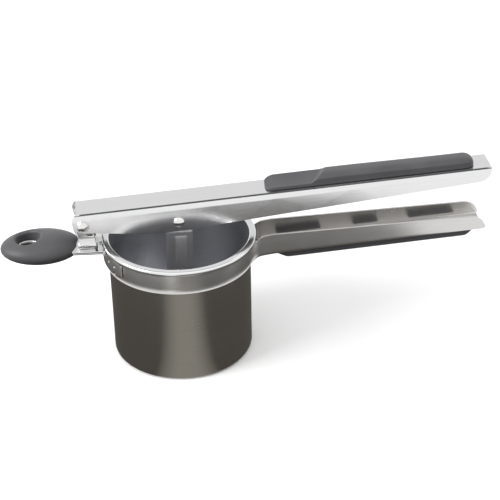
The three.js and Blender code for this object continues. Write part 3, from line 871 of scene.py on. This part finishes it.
def make_ears():
    """Two upright ears whose feet bend outwards into the tongue, with a small slot."""
    x, z = HINGE.x, HINGE.z
    bend = 4.2
    bend_z = TONGUE_HIGH + bend

    def left_at(h):
        t = (h - RIM_Z + 3) / (z - 2 - RIM_Z + 3)
        return x - 4.2 - 0.4 * t + 1.3 * math.sin(math.pi * min(1.0, max(0.0, t)))

    def right_at(h):
        flare = max(0.0, (RIM_Z + 4.2 - h) / 6.0)
        return x + 5.8 + 2.2 * flare ** 1.8

    for side, name in ((-1, "bracket_ear_near"), (1, "bracket_ear_far")):
        face_y = side * EAR_OUT
        heights = [blend(bend_z, z - 2, i / 8) for i in range(9)]
        outline = [(right_at(h), h) for h in heights]
        outline += arc(x, z, 5.2, 8, 172, 16)
        outline += [(left_at(h), h) for h in reversed(heights)]
        slot = [(x + 1.3, z - 7.6), (x + 5.1, z - 7.6), (x + 5.1, z - 6.7), (x + 1.3, z - 6.7)]
        loops = [[Vector((px, face_y, pz)) for px, pz in loop]
                 for loop in (outline, slot, circle(x, z, PIVOT_HOLE_R, 24))]
        vertices, faces = [], []
        add_panel(vertices, faces, loops)
        rows = []
        for step in range(11):
            angle = math.pi / 2 * min(1.0, step / 9)
            extra = 0.6 * max(0, step - 9)
            y = EAR_OUT + bend * (1 - math.cos(angle)) + extra
            h = bend_z - bend * math.sin(angle)
            left, right = left_at(h), right_at(h)
            rows.append([(blend(left, right, j / 6), side * y, h) for j in range(7)])
        first = [(blend(left_at(bend_z), right_at(bend_z), j / 6)) for j in range(7)]
        rows[0] = [(px, face_y, bend_z) for px in first]
        add_rows(vertices, faces, rows)
        ear = make_piece(name, vertices, faces, outward=((x, face_y, z - 6), (0, side, 0)))
        thicken(ear, EAR_SHEET)
        finish_bracket(ear, 0.28, 3)


def tongue_outline(inset):
    """The tongue in plan: round the hopper's rim on one side, a cut corner each end."""
    reach = RIM_R + GAP
    turn = math.degrees(math.asin(TONGUE_HALF / reach))
    half = TONGUE_HALF - inset
    points = arc(0, 0, reach, 180 - turn, 180 + turn, 24)
    left = [(-60.2, -half + 0.4), (-60.8 + inset, -half + 1.4), (-58.4, -8.0)]
    points += left + [(px, -py) for px, py in reversed(left)]
    return points


def make_tongue():
    """Two thin layers pressed together, so the edge shows a groove."""
    layers = (("tongue_upper", TONGUE_LOW + 1.08, TONGUE_HIGH, 0.0),
              ("tongue_lower", TONGUE_LOW, TONGUE_LOW + 0.96, 0.35))
    for name, low, high, inset in layers:
        outline = tongue_outline(inset)
        rings = [[(x, y, h) for x, y in outline] for h in (low, high)]
        layer = ring_loft(name, rings, smooth_deg=30)
        finish_bracket(layer, 0.26, 3, 40)


def make_tongue_core():
    """The neck and the ring that hold the knob; only the ring's bore is seen."""
    centre_x = KNOB.x + EYELET_FROM_KNOB
    inner, outer = EYELET_R - 0.45, 10.5
    half = 0.9
    place = move_to(centre_x, 0, KNOB.z - 0.6)
    ring = turned("eyelet_ring", washer_profile(inner, outer, -half, half, 0.35), 48, place)
    finish_piece(ring, "base", "polished_steel", STEM_STEEL)
    neck = ring_loft("tongue_neck", [
        [(x, y, TONGUE_LOW + 0.2), (x, -y, TONGUE_LOW + 0.2),
         (x, -y, TONGUE_HIGH - 0.1), (x, y, TONGUE_HIGH - 0.1)]
        for x, y in ((centre_x + 8.5, 5.0), (-70.0, 7.4), (-61.0, 8.0))])
    finish_bracket(neck, 0.3)


def weld_dimple(angle, z):
    """How far a spot weld pulls the wing in at this angle from -X and height."""
    depth = 0.0
    for degrees, down in SPOT_WELDS:
        along = WING_IN * (abs(angle) - math.radians(degrees))
        distance = math.hypot(along, z - (RIM_Z - down))
        depth = max(depth, 0.42 * (1 - smoothstep(0.25, 0.95, distance)))
    return depth


def make_wings():
    """The sheet that wraps the strap, spot welded to it, and its raised ledge."""
    low, high = RIM_Z - 12.0, RIM_Z - 3.1
    radius = WING_IN + SHEET
    corner = 1.6
    columns, rows = 170, 22
    vertices = []
    for i in range(columns + 1):
        angle = blend(-WING_HALF, WING_HALF, i / columns)
        left = (WING_HALF - abs(angle)) * radius
        cut = corner - math.sqrt(max(0.0, corner ** 2 - max(0.0, corner - left) ** 2))
        for j in range(rows + 1):
            z = blend(low + cut, high - cut, j / rows)
            r = radius - weld_dimple(angle, z)
            vertices.append((-r * math.cos(angle), -r * math.sin(angle), z))
    wing = make_piece("bracket_wing", vertices, grid_faces(columns + 1, rows + 1),
                      outward=((-radius, 0, low + 3), (-1, 0, 0)))
    thicken(wing, SHEET)
    soften(wing, 0.28, 3)
    finish_piece(wing, "base", "polished_steel", STRAP_STEEL, "hinge_bracket")
    section = ([(WING_IN + 0.2, RIM_Z - 4.4), (44.0, RIM_Z - 4.4)]
               + arc(44.6, RIM_Z - 3.2, 1.2, -90, 0, 5) + [(45.8, TONGUE_LOW + 1.2)]
               + [(RIM_R + GAP, TONGUE_LOW + 1.2), (RIM_R + GAP, RIM_Z - 3.1),
                  (WING_IN + 0.2, RIM_Z - 3.1)])
    rings = []
    for i in range(33):
        angle = math.radians(blend(-20, 20, i / 32))
        rings.append([(-r * math.cos(angle), -r * math.sin(angle), z) for r, z in section])
    ledge = ring_loft("bracket_ledge", rings)
    finish_bracket(ledge, 0.22, 2, 40)


def make_posts():
    """Two short tabs that stand up behind the rim, inside the lever."""
    for side, name in ((-1, "bracket_post_near"), (1, "bracket_post_far")):
        rings = []
        for z, depth in ((TONGUE_LOW + 0.6, 1.1), (RIM_Z + 0.5, 1.1), (RIM_Z + 1.6, 3.0),
                         (RIM_Z + 6.2, 3.1), (RIM_Z + 7.2, 2.7), (RIM_Z + 7.5, 2.0)):
            width = 1.35 if z < RIM_Z + 6.5 else 1.35 - 0.35 * (z - RIM_Z - 6.5)
            x0 = -46.35
            rings.append([(x0, side * 5 - width, z), (x0 + depth, side * 5 - width, z),
                          (x0 + depth, side * 5 + width, z), (x0, side * 5 + width, z)])
        post = ring_loft(name, rings, smooth_deg=40)
        finish_bracket(post, 0.35, 3, 40)


# -------------------------------------------------------------------------- knob
def make_knob():
    """A flattened egg with a round hanging hole whose lips are rolled over."""
    rx, ry, rz = KNOB_HALF
    centre = KNOB
    hole_x = EYELET_FROM_KNOB
    lip = 1.7

    def outline_reach(c, s):
        a = (c / rx) ** 2 + (s / ry) ** 2
        b = 2 * hole_x * c / rx ** 2
        k = (hole_x / rx) ** 2 - 1
        return (-b + math.sqrt(b * b - 4 * a * k)) / (2 * a)

    def half_height(x, y):
        return rz * math.sqrt(max(0.0, 1 - (x / rx) ** 2 - (y / ry) ** 2))

    around = 120
    rings = []
    for i in range(around):
        angle = TURN * i / around
        c, s = math.cos(angle), math.sin(angle)
        reach = outline_reach(c, s)
        upper = [(EYELET_R, 0.0), (EYELET_R, 1.2)]
        at_lip = EYELET_R + lip
        lip_top = half_height(hole_x + at_lip * c, at_lip * s)
        for step in range(7):
            turn = math.pi / 2 * step / 6
            r = EYELET_R + lip * (1 - math.cos(turn))
            upper.append((r, lip_top - lip * 0.85 * (1 - math.sin(turn))))
        for step in range(1, 25):
            turn = math.pi / 2 * step / 24
            r = at_lip + (reach - at_lip) * math.sin(turn)
            upper.append((r, half_height(hole_x + r * c, r * s)))
        lower = [(r, -h) for r, h in reversed(upper[1:-1])]
        rings.append([(centre.x + hole_x + r * c, centre.y + r * s, centre.z + h)
                      for r, h in upper + lower])
    count = len(rings[0])
    vertices = [point for ring in rings for point in ring]
    faces = grid_faces(around, count, close_rows=True, close_columns=True)
    knob = make_piece("hanging_knob_moulding", vertices, faces, smooth_deg=75,
                      outward=((centre.x + 8, 0, centre.z + rz), (0, 0, 1)))
    finish_rubber(knob, "base", "hanging_knob")


# ----------------------------------------------------------------------- plunger
STEM_HALF = 6.9
STEM_X = (-7.5, 7.6)
SHOULDER_Z = RIM_Z + 4.6
EYE_FROM_PIN = (2.7, 0.8)
EYE_HALF = (5.2, 3.4)


def stem_outline():
    """A leg of the stem as (x, z), from its foot's bend up round its rounded head."""
    eye_x, eye_z = PIN.x + EYE_FROM_PIN[0], PIN.z + EYE_FROM_PIN[1]
    half = EYE_HALF[0] + 1.7
    top = eye_z + EYE_HALF[1] + 1.6
    head_round = 4.5
    foot = STEM_LOW.z + BEND_R
    points = [(STEM_X[0], foot)] + [(blend(STEM_X[0], STEM_X[1], i / 8), foot) for i in range(1, 8)]
    points += [(STEM_X[1], foot), (STEM_X[1], SHOULDER_Z - 0.8), (STEM_X[1] - 0.5, SHOULDER_Z)]
    left, right = eye_x - half, eye_x + half
    points += [(right, eye_z - 2.4), (right, top - head_round)]
    points += quad_curve((right, top - head_round), (right, top), (right - head_round, top), 6)
    points += [(left + head_round, top)]
    points += quad_curve((left + head_round, top), (left, top), (left, top - head_round), 6)
    points += [(left, eye_z - 2.4), (STEM_X[0] + 0.5, SHOULDER_Z), (STEM_X[0], SHOULDER_Z - 0.8)]
    return points


def eye_outline():
    """The oblong eye that the plunger pin travels in."""
    x, z = PIN.x + EYE_FROM_PIN[0], PIN.z + EYE_FROM_PIN[1]
    reach, r = EYE_HALF[0] - EYE_HALF[1], EYE_HALF[1]
    return arc(x + reach, z, r, -90, 90, 12) + arc(x - reach, z, r, 90, 270, 12)


def make_stem():
    """A strip folded into a U: two legs, joined by the foot through rounded bends."""
    outline, eye = stem_outline(), eye_outline()
    vertices, faces = [], []
    for side in (-1, 1):
        loops = [[Vector((x, side * STEM_HALF, z)) for x, z in loop] for loop in (outline, eye)]
        add_panel(vertices, faces, loops)
        rows = []
        for step in range(7):
            angle = math.pi / 2 * step / 6
            y = STEM_HALF - BEND_R * (1 - math.cos(angle))
            z = STEM_LOW.z + BEND_R * (1 - math.sin(angle))
            rows.append([(blend(STEM_X[0], STEM_X[1], i / 8), side * y, z) for i in range(9)])
        add_rows(vertices, faces, rows)
    inner = STEM_HALF - BEND_R
    foot = [[Vector((blend(STEM_X[0], STEM_X[1], i / 8), y, STEM_LOW.z)) for i in range(9)]
            for y in (-inner, inner)]
    holes = [[Vector((x, y, STEM_LOW.z)) for x, y in circle(rivet_x, 0, 1.8, 24)]
             for rivet_x in plate_rivets_x()]
    add_panel(vertices, faces, [foot[0] + foot[1][::-1], *holes])
    stem = make_piece("plunger_stem_strip", vertices, faces,
                      outward=((0, -STEM_HALF, 40), (0, -1, 0)))
    thicken(stem, SHEET)
    soften(stem, 0.3, 3)
    finish_piece(stem, "plunger", "brushed_steel", STEM_STEEL, "plunger_stem")
    make_stem_ribs()


def make_stem_ribs():
    """The raised rib pressed along each leg, and the bright lip at its shoulder."""
    for side, name in ((-1, "near"), (1, "far")):
        section = [(-2.8, 0.0), (-2.5, 0.2), (-2.0, 0.34), (3.4, 0.34), (3.9, 0.2), (4.2, 0.0)]
        rings = []
        for z, lift in ((STEM_LOW.z + 6, 0.1), (STEM_LOW.z + 7.5, 1.0),
                        (SHOULDER_Z - 4.5, 1.0), (SHOULDER_Z - 3, 0.1)):
            rings.append([(x, side * (STEM_HALF + lift * h), z) for x, h in section]
                         + [(x, side * (STEM_HALF - 0.4), z) for x, _ in reversed(section)])
        rib = ring_loft(f"stem_rib_{name}", rings, smooth_deg=25)
        finish_piece(rib, "plunger", "brushed_steel", STEM_STEEL)
        lip_z = SHOULDER_Z - 0.1
        rings = []
        for x, tilt in ((STEM_X[0] + 0.2, -0.2), (STEM_X[0] + 0.6, -0.15),
                        (STEM_X[1] - 0.6, 0.1), (STEM_X[1] - 0.2, 0.1)):
            y0, y1 = side * (STEM_HALF - 1.0), side * (STEM_HALF + 0.55)
            rings.append([(x, y0, lip_z + tilt - 0.7), (x, y1, lip_z + tilt - 0.7),
                          (x, y1, lip_z + tilt), (x, y0, lip_z + tilt)])
        lip = ring_loft(f"stem_lip_{name}", rings)
        soften(lip, 0.2, 2, 40)
        finish_piece(lip, "plunger", "polished_steel", BRACKET_STEEL)


def plate_rivets_x():
    return [middle(node).x for node in ("plate_rivet_1", "plate_rivet_2")]


def make_plate():
    """The pressing plate: a slightly dished disc with a rounded edge and a bead."""
    low, high = box_mm("press_plate")
    radius = (high.x - low.x) / 2
    thick = high.z - low.z
    top = [(0.0, thick), (12.0, thick), (13.0, thick - 0.1), (14.2, thick - 0.34),
           (20.0, thick - 0.36), (28.0, thick - 0.34), (29.6, thick - 0.1), (31.0, thick),
           (radius - 0.6, thick)]
    edge = arc(radius - 0.6, thick - 0.6, 0.6, 75, 0, 4) + arc(radius - 0.5, 0.5, 0.5, 0, -90, 4)
    bottom = [(30.0, 0.0), (20.0, 0.0), (0.0, 0.0)]
    place = move_to(PLATE.x, PLATE.y, low.z)
    plate = turned("press_plate_disc", list(reversed(top + edge + bottom)), 144, place)
    # The plate takes the inside steel, whose lighter tone is partly painted light inside the cup.
    finish_piece(plate, "plunger", "brushed_steel", INSIDE_STEEL, "press_plate")
    for index, node in enumerate(("plate_rivet_1", "plate_rivet_2")):
        low, high = box_mm(node)
        tall = high.z - low.z
        profile = [(0.0, 0.0), (2.2, 0.0), (2.8, 0.2), (3.0, 0.5), (3.0, 0.8), (1.5, 0.82),
                   (1.5, tall - 1.1), (3.0, tall - 1.08), (2.9, tall - 0.7), (2.4, tall - 0.35),
                   (1.5, tall - 0.1), (0.0, tall)]
        place = move_to(middle(node).x, 0, low.z)
        rivet = turned(f"plate_rivet_head_{index + 1}", profile, 32, place)
        finish_piece(rivet, "plunger", "polished_steel", RIVET_STEEL, node)


# ------------------------------------------------------------- floor, light, camera
class LightNodes(Nodes):
    """The same helpers for a world or an emitting card."""

    def __init__(self, tree, coordinates):
        self.tree = tree
        self.tree.nodes.clear()
        self.coordinates = self.add("ShaderNodeTexCoord").outputs[coordinates]
        split = self.add("ShaderNodeSeparateXYZ")
        self.link(self.coordinates, split.inputs[0])
        self.x, self.y, self.z = split.outputs

    def band(self, value, low, high, edge):
        """1 where value is between low and high, fading over edge on both sides."""
        rise = self.spread(value, 0.0, 1.0, low - edge, low + edge)
        fall = self.spread(value, 1.0, 0.0, high - edge, high + edge)
        return self.maths("MULTIPLY", rise, fall)

    def distance(self, x, y):
        dx = self.maths("SUBTRACT", self.x, x)
        dy = self.maths("SUBTRACT", self.y, y)
        return self.maths("SQRT", self.maths(
            "ADD", self.maths("MULTIPLY", dx, dx), self.maths("MULTIPLY", dy, dy)), 0.0)


def flat_card(name, half):
    """A square sheet that looks up, reaching half its width each way."""
    corners = [(-half, -half, 0), (half, -half, 0), (half, half, 0), (-half, half, 0)]
    return make_piece(name, corners, [(0, 1, 2, 3)], outward=((0, 0, 0), (0, 0, 1)))


def make_floor():
    floor = flat_card("floor", 3000.0)
    nodes = Nodes("floor_paper")
    mottled = nodes.spread(nodes.noise(nodes.coordinates, 9.0), 0.0, 1.0)
    nodes.link(nodes.mixed(mottled, (0.93, 0.93, 0.93), (0.96, 0.96, 0.96)),
               nodes.shader.inputs["Base Color"])
    nodes.shader.inputs["Roughness"].default_value = 0.95
    nodes.shader.inputs["Specular IOR Level"].default_value = 0.1
    floor.data.materials.append(nodes.material)
    floor.location.z = -0.0004
    floor.visible_glossy = False
    floor.visible_diffuse = False


def make_painted_reflection_card():
    """A painted reflection: an emitting card on the floor that only glossy rays see,
    dark round the ricer with a lighter lobe in front and a white spot."""
    painted_card = flat_card("painted_reflection_card", 900.0)
    material = bpy.data.materials.new("painted_reflection_emission")
    material.use_nodes = True
    nodes = LightNodes(material.node_tree, "Object")
    front = nodes.spread(nodes.distance(0.054, -0.098), 1.0, 0.0, 0.108, 0.116)
    around = nodes.spread(nodes.distance(0.0, 0.0), 1.0, 0.0, 0.166, 0.180)
    window = nodes.spread(nodes.distance(-0.050, -0.180), 0.0, 1.0, 0.022, 0.036)
    # painted reflection: where the card shows its dark tones rather than white
    dark = nodes.maths("MULTIPLY", nodes.maths("MAXIMUM", front, around), window)
    centre = nodes.distance(0.0, 0.0)
    forward = nodes.maths("DIVIDE", nodes.y, nodes.maths("MULTIPLY", centre, -1.0))
    lobe = nodes.band(forward, 0.93, 1.2, 0.06)
    far = nodes.spread(centre, 0.0, 1.0, 0.125, 0.16)
    # painted reflection tones: darkest near the ricer, a lighter lobe in front, mid grey further
    # out
    near_tone = nodes.mixed(lobe, (0.1, 0.094, 0.085), (0.36, 0.345, 0.315))
    tone = nodes.mixed(far, near_tone, (0.16, 0.157, 0.152))
    shown = nodes.mixed(dark, (1.0, 1.0, 1.0), tone)
    emission = nodes.add("ShaderNodeEmission")
    nodes.link(shown, emission.inputs["Color"])
    output = nodes.add("ShaderNodeOutputMaterial")
    nodes.link(emission.outputs[0], output.inputs["Surface"])
    painted_card.data.materials.append(material)
    painted_card.location.z = -0.0003
    for ray in ("camera", "diffuse", "transmission", "volume_scatter", "shadow"):
        setattr(painted_card, "visible_" + ray, False)


def make_light():
    """A bright tent: pale all round for reflections, with one darker strip high at
    the back, and soft light mostly from above for the matt surfaces."""
    scene = bpy.context.scene
    world = bpy.data.worlds.new("studio")
    scene.world = world
    world.use_nodes = True
    nodes = LightNodes(world.node_tree, "Generated")
    strip = nodes.maths("MULTIPLY", nodes.band(nodes.z, 0.80, 0.965, 0.012),
                        nodes.spread(nodes.y, 0.0, 1.0, 0.1, 0.35))
    height = nodes.spread(nodes.z, 0.0, 1.0, 0.1, 0.95)
    tent = nodes.mixed(height, (0.93, 0.935, 0.94), (1.1, 1.1, 1.1))
    backdrop = nodes.maths("MULTIPLY", nodes.band(nodes.z, 0.40, 0.64, 0.05),
                           nodes.spread(nodes.y, 0.0, 1.0, 0.1, 0.35))
    toned = nodes.mixed(backdrop, tent, (0.78, 0.78, 0.785))
    glossy = nodes.mixed(strip, toned, (0.05, 0.05, 0.055))
    matt = nodes.mixed(nodes.spread(nodes.z, 0.0, 1.0, 0.05, 0.9),
                       (0.06, 0.06, 0.065), (1.5, 1.5, 1.5))
    path = nodes.add("ShaderNodeLightPath")
    shown = nodes.mixed(path.outputs["Is Glossy Ray"], matt, glossy)
    background = nodes.add("ShaderNodeBackground")
    nodes.link(shown, background.inputs["Color"])
    output = nodes.add("ShaderNodeOutputWorld")
    nodes.link(background.outputs[0], output.inputs["Surface"])
    data = bpy.data.lights.new("softbox_left", "AREA")
    data.shape = "SQUARE"
    data.size = 0.7
    data.energy = 14
    lamp = bpy.data.objects.new("softbox_left", data)
    scene.collection.objects.link(lamp)
    at, aim = Vector((-1.1, -0.35, 0.75)), Vector((0, 0, 0.05))
    lamp.location = at
    lamp.rotation_mode = "QUATERNION"
    lamp.rotation_quaternion = (aim - at).to_track_quat("-Z", "Y")


def make_camera():
    """The photograph's view: a long lens from the front left, well above."""
    scene = bpy.context.scene
    target = Vector((40.63, 0.0, RIM_Z - 14.73)) * MM
    azimuth, elevation, roll = (math.radians(a) for a in (5.469, 30.753, -0.864))
    distance = 0.7732
    back = Vector((-math.sin(azimuth) * math.cos(elevation),
                   -math.cos(azimuth) * math.cos(elevation), math.sin(elevation)))
    right = (-back).cross(Vector((0, 0, 1))).normalized()
    up = right.cross(-back)
    right_rolled = math.cos(roll) * right + math.sin(roll) * up
    up_rolled = math.cos(roll) * up - math.sin(roll) * right
    data = bpy.data.cameras.new("camera")
    data.sensor_width = 36.0
    data.lens = 96.06
    data.dof.use_dof = False
    data.clip_start, data.clip_end = 0.01, 20.0
    camera = bpy.data.objects.new("camera", data)
    scene.collection.objects.link(camera)
    turn = Matrix((right_rolled, up_rolled, back)).transposed().to_4x4()
    camera.matrix_world = Matrix.Translation(target + distance * back) @ turn
    scene.camera = camera


make_camera()
make_light()
make_floor()
make_painted_reflection_card()
make_hopper()
make_strap()
make_lower_grip()
make_ears()
make_tongue()
make_tongue_core()
make_wings()
make_posts()
make_knob()
make_lever()
make_upper_grip()
make_lever_hardware()
make_stem()
make_plate()

bpy.context.scene.view_settings.view_transform = "Standard"
